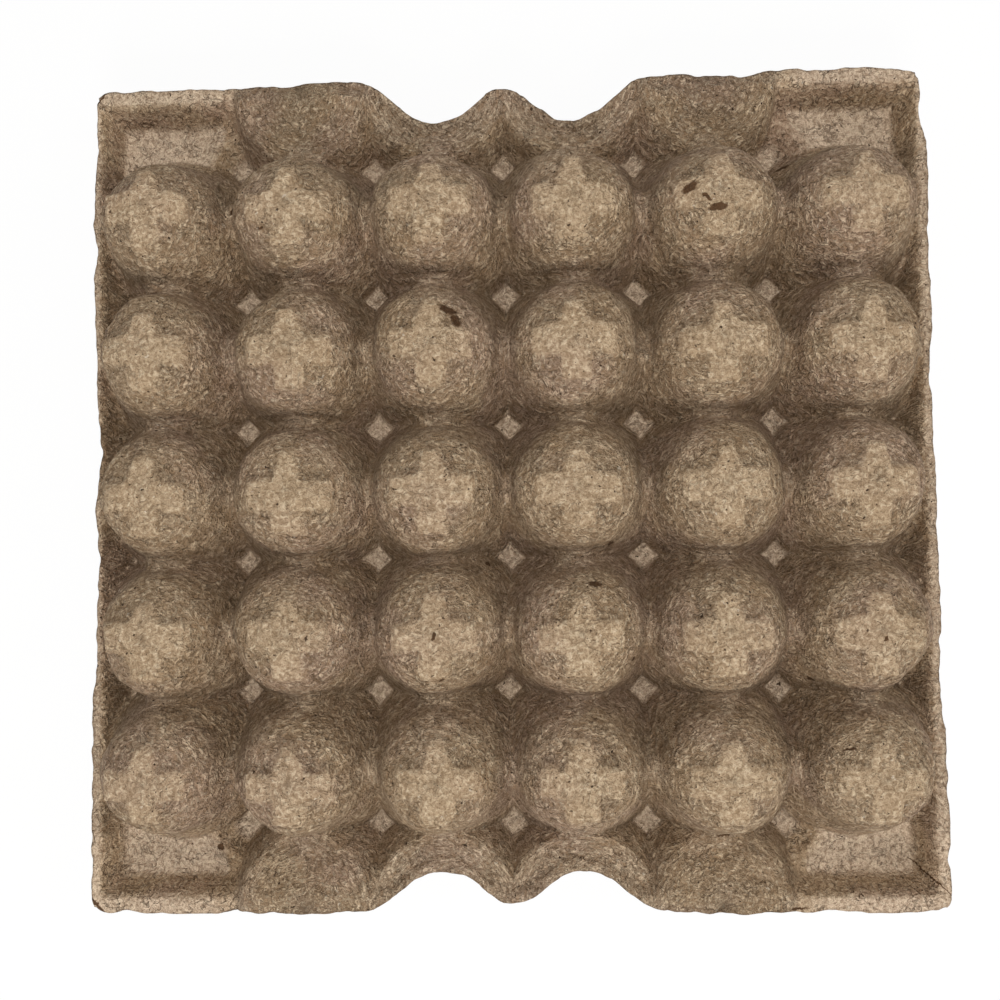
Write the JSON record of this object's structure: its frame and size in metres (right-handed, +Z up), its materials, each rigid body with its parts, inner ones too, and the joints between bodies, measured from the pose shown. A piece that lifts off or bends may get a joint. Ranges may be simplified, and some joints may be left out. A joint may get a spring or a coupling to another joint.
{
  "type": "pulp egg tray",
  "caption": "Square moulded pulp tray, upside down: rows of domed cups joined by saddles and hollow posts, with a narrow flat rim, corner pockets and finger notches.",
  "frame": {"origin": "middle of the tray on the plane that the hollow posts stand on", "axes": "+Z up towards the bottoms of the cups, as the tray lies upside down; +X along the longer rows of cups; +Y towards the far notched edge"},
  "size_m": [0.295, 0.29, 0.046],
  "materials": {
    "pulp": "matt, rough and fibrous moulded pulp"
  },
  "bodies": {
    "root": {"tray": "pulp"}
  },
  "joints": []
}
